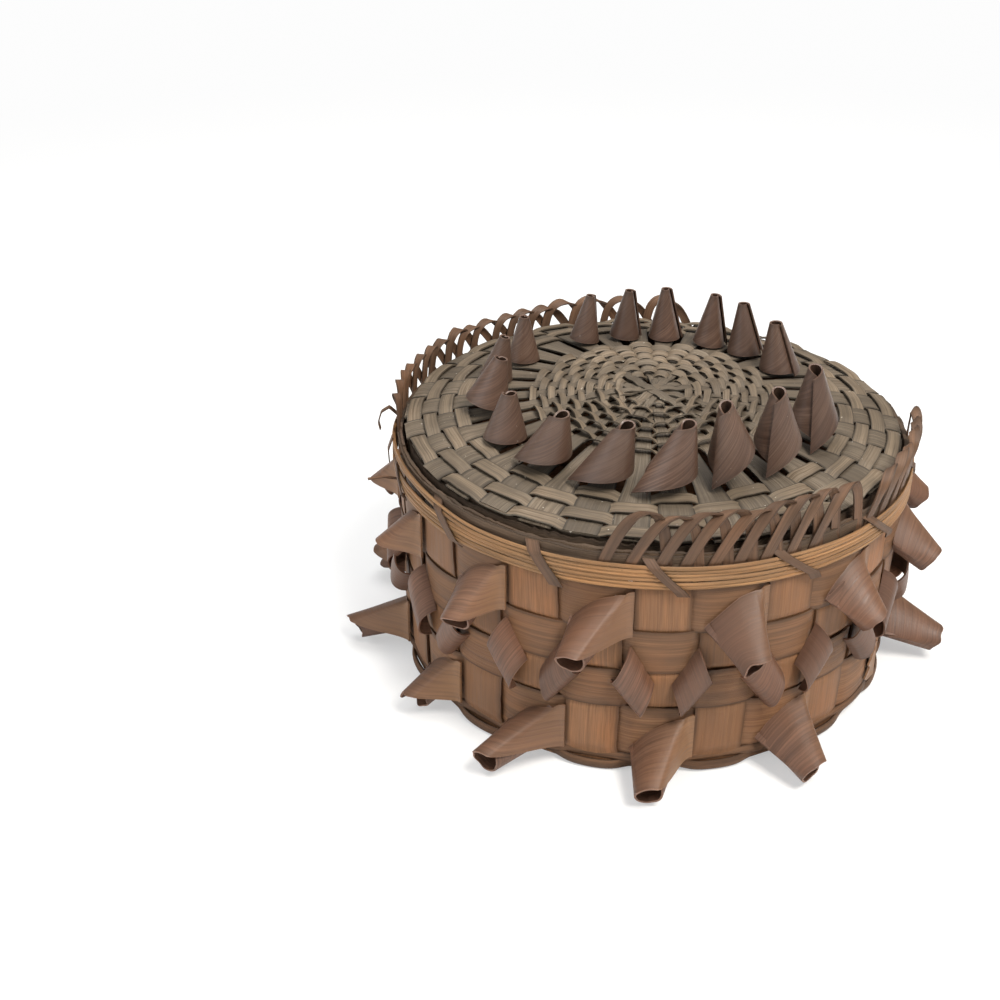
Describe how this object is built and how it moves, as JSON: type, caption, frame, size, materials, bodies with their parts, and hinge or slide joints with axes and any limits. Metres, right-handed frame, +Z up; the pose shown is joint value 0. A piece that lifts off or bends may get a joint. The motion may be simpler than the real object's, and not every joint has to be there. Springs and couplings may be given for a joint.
{
  "type": "lidded splint basket",
  "caption": "Small round lidded basket of dark wood splint, with rolled splint curls on its wall, standing quills on its lid and a pale rim hoop; for keeping small things.",
  "frame": {"origin": "middle of the foot, on the surface that the basket stands on", "axes": "+Z up along the basket's axis, -Y towards the viewer of the picture, +X to the right"},
  "size_m": [0.1693, 0.17, 0.0942],
  "materials": {
    "stake_splint": "aged brown splint, satin",
    "weaver_splint": "aged brown splint, satin",
    "foot_splint": "dark splint, matt",
    "pale_hoop": "golden natural splint, satin",
    "dark_hoop": "dark splint, matt",
    "border_splint": "dark grey-brown splint, satin",
    "curl_splint": "dark red-brown splint, satin",
    "lid_splint": "dusty grey-brown splint, matt",
    "lid_weaver_splint": "dusty grey-brown splint, matt",
    "quill_splint": "dark red-brown splint, satin"
  },
  "bodies": {
    "basket": {"base_stake_01": "stake_splint", "base_stake_02": "stake_splint", "base_stake_03": "stake_splint", "base_stake_04": "stake_splint", "base_stake_05": "stake_splint", "base_stake_06": "stake_splint", "base_stake_07": "stake_splint", "base_stake_08": "stake_splint", "base_stake_09": "stake_splint", "base_stake_10": "stake_splint", "base_stake_11": "stake_splint", "base_stake_12": "stake_splint", "base_stake_13": "stake_splint", "base_weavers": "weaver_splint", "foot_strand_1": "foot_splint", "foot_strand_2": "foot_splint", "wall_weaver_1": "weaver_splint", "wall_weaver_2": "weaver_splint", "wall_weaver_3": "weaver_splint", "wall_weaver_4": "weaver_splint", "rim_strand_1": "pale_hoop", "rim_strand_2": "pale_hoop", "rim_strand_3": "pale_hoop", "inner_hoop": "dark_hoop", "lashings": "border_splint", "loops_front": "border_splint", "loops_right": "border_splint", "loops_left": "border_splint", "curls_bottom": "curl_splint", "curls_middle": "curl_splint", "curls_top": "curl_splint"},
    "lid": {"lid_splint_01": "lid_splint", "lid_splint_02": "lid_splint", "lid_splint_03": "lid_splint", "lid_splint_04": "lid_splint", "lid_splint_05": "lid_splint", "lid_splint_06": "lid_splint", "lid_splint_07": "lid_splint", "lid_splint_08": "lid_splint", "lid_splint_09": "lid_splint", "lid_splint_10": "lid_splint", "lid_splint_11": "lid_splint", "lid_splint_12": "lid_splint", "lid_splint_13": "lid_splint", "lid_splint_14": "lid_splint", "lid_splint_15": "lid_splint", "lid_splint_16": "lid_splint", "lid_splint_17": "lid_splint", "lid_inner_weavers": "lid_weaver_splint", "lid_weaver_1": "lid_weaver_splint", "lid_weaver_2": "lid_weaver_splint", "lid_weaver_3": "lid_weaver_splint", "lid_weaver_4": "lid_weaver_splint", "lid_flange": "dark_hoop", "lid_quills": "quill_splint"}
  },
  "joints": [
    {"name": "lid_lift", "type": "slide", "parent": "basket", "child": "lid", "axis": [0, 0, 1], "range_m": [0, 0.09]}
  ]
}
